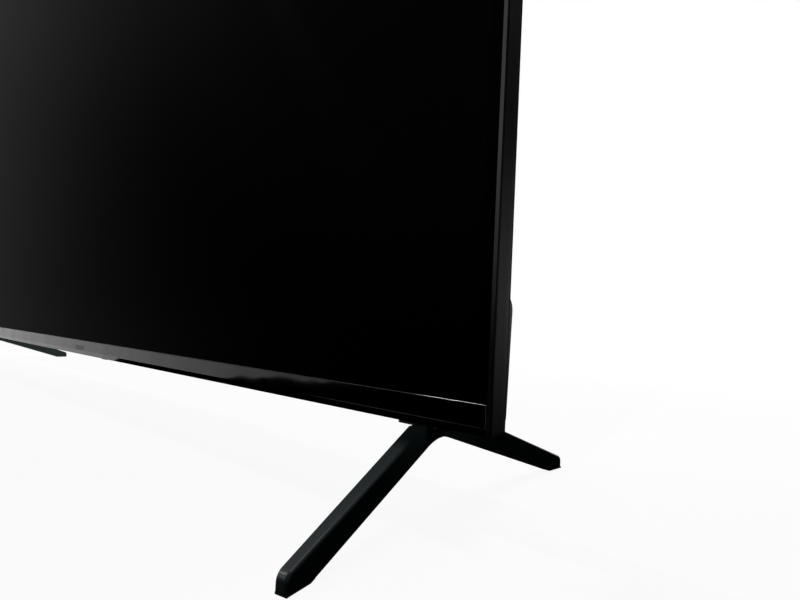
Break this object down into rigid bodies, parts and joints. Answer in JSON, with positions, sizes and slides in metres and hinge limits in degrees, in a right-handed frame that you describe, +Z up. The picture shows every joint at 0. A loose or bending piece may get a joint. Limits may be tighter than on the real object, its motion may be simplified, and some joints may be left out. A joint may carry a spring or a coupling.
{
  "type": "flat screen television",
  "caption": "Thin flat screen television with a slim rim, a gloss chin, a moulded rear housing with sockets and vents, and splayed arched feet.",
  "frame": {"origin": "on the floor, midway between the feet", "axes": "+X to the right seen from the front, +Y towards the back, +Z up; the screen faces -Y"},
  "size_m": [1.112, 0.2674, 0.6936],
  "materials": {
    "rim_metal": "satin anodised, dark grey",
    "chin_gloss": "high gloss black",
    "screen_glass": "switched-off screen, black",
    "flex_film": "amber film",
    "board_green": "solder mask",
    "board_blue": "solder mask",
    "board_tan": "bare laminate",
    "black_plastic": "fine moulded grain",
    "clear_film": "optical film",
    "white_plastic": "matt white",
    "strip_white": "white solder mask",
    "sheet_steel": "zinc coated",
    "cover_plastic": "fine moulded grain, black",
    "screw_steel": "black zinc",
    "bare_steel": "turned",
    "bare_aluminium": "extruded",
    "ribbon_white": "flat cable",
    "socket_steel": "nickel plated",
    "cone_paper": "paper pulp",
    "foot_metal": "satin dark grey",
    "pad_rubber": "matt black"
  },
  "bodies": {
    "cabinet": {"front_bezel": "rim_metal", "bottom_trim": "chin_gloss", "lcd_panel": "screen_glass", "panel_flexes": "flex_film", "source_boards": "board_green", "middle_frame": "black_plastic", "optical_films": "clear_film", "diffuser_plate": "white_plastic", "reflector_sheet": "white_plastic", "led_lenses": "clear_film", "led_strips": "strip_white", "backlight_tray": "sheet_steel", "rear_cover": "cover_plastic", "cover_screws": "screw_steel", "vesa_posts": "bare_steel", "terminal_plate": "black_plastic", "main_board": "board_green", "main_board_parts": "black_plastic", "heat_sink": "bare_aluminium", "power_board": "board_tan", "power_parts": "black_plastic", "tcon_board": "board_green", "panel_ribbon": "ribbon_white", "radio_module": "board_blue", "hdmi_sockets": "socket_steel", "usb_sockets": "socket_steel", "lan_socket": "socket_steel", "antenna_socket": "socket_steel", "audio_jack": "black_plastic", "mains_inlet": "black_plastic", "speaker_box_left": "black_plastic", "speaker_box_right": "black_plastic", "speaker_magnets": "bare_steel", "ir_window": "chin_gloss", "ir_board": "board_green", "button_board": "board_green", "foot_left": "foot_metal", "foot_right": "foot_metal", "foot_brackets": "sheet_steel", "foot_screws": "screw_steel", "foot_pads": "pad_rubber"},
    "power_button": {"power_button": "black_plastic"},
    "speaker_cone_left": {"speaker_cone_left": "cone_paper"},
    "speaker_cone_right": {"speaker_cone_right": "cone_paper"}
  },
  "joints": [
    {"name": "power_button_press", "type": "slide", "parent": "cabinet", "child": "power_button", "axis": [0, 0, 1], "range_m": [0, 0.0008], "stiffness_N_per_m": 600},
    {"name": "speaker_cone_left_travel", "type": "slide", "parent": "cabinet", "child": "speaker_cone_left", "axis": [0, 1, 0], "range_m": [-0.0015, 0.0015], "stiffness_N_per_m": 1200},
    {"name": "speaker_cone_right_travel", "type": "slide", "parent": "cabinet", "child": "speaker_cone_right", "axis": [0, 1, 0], "range_m": [-0.0015, 0.0015], "stiffness_N_per_m": 1200}
  ]
}
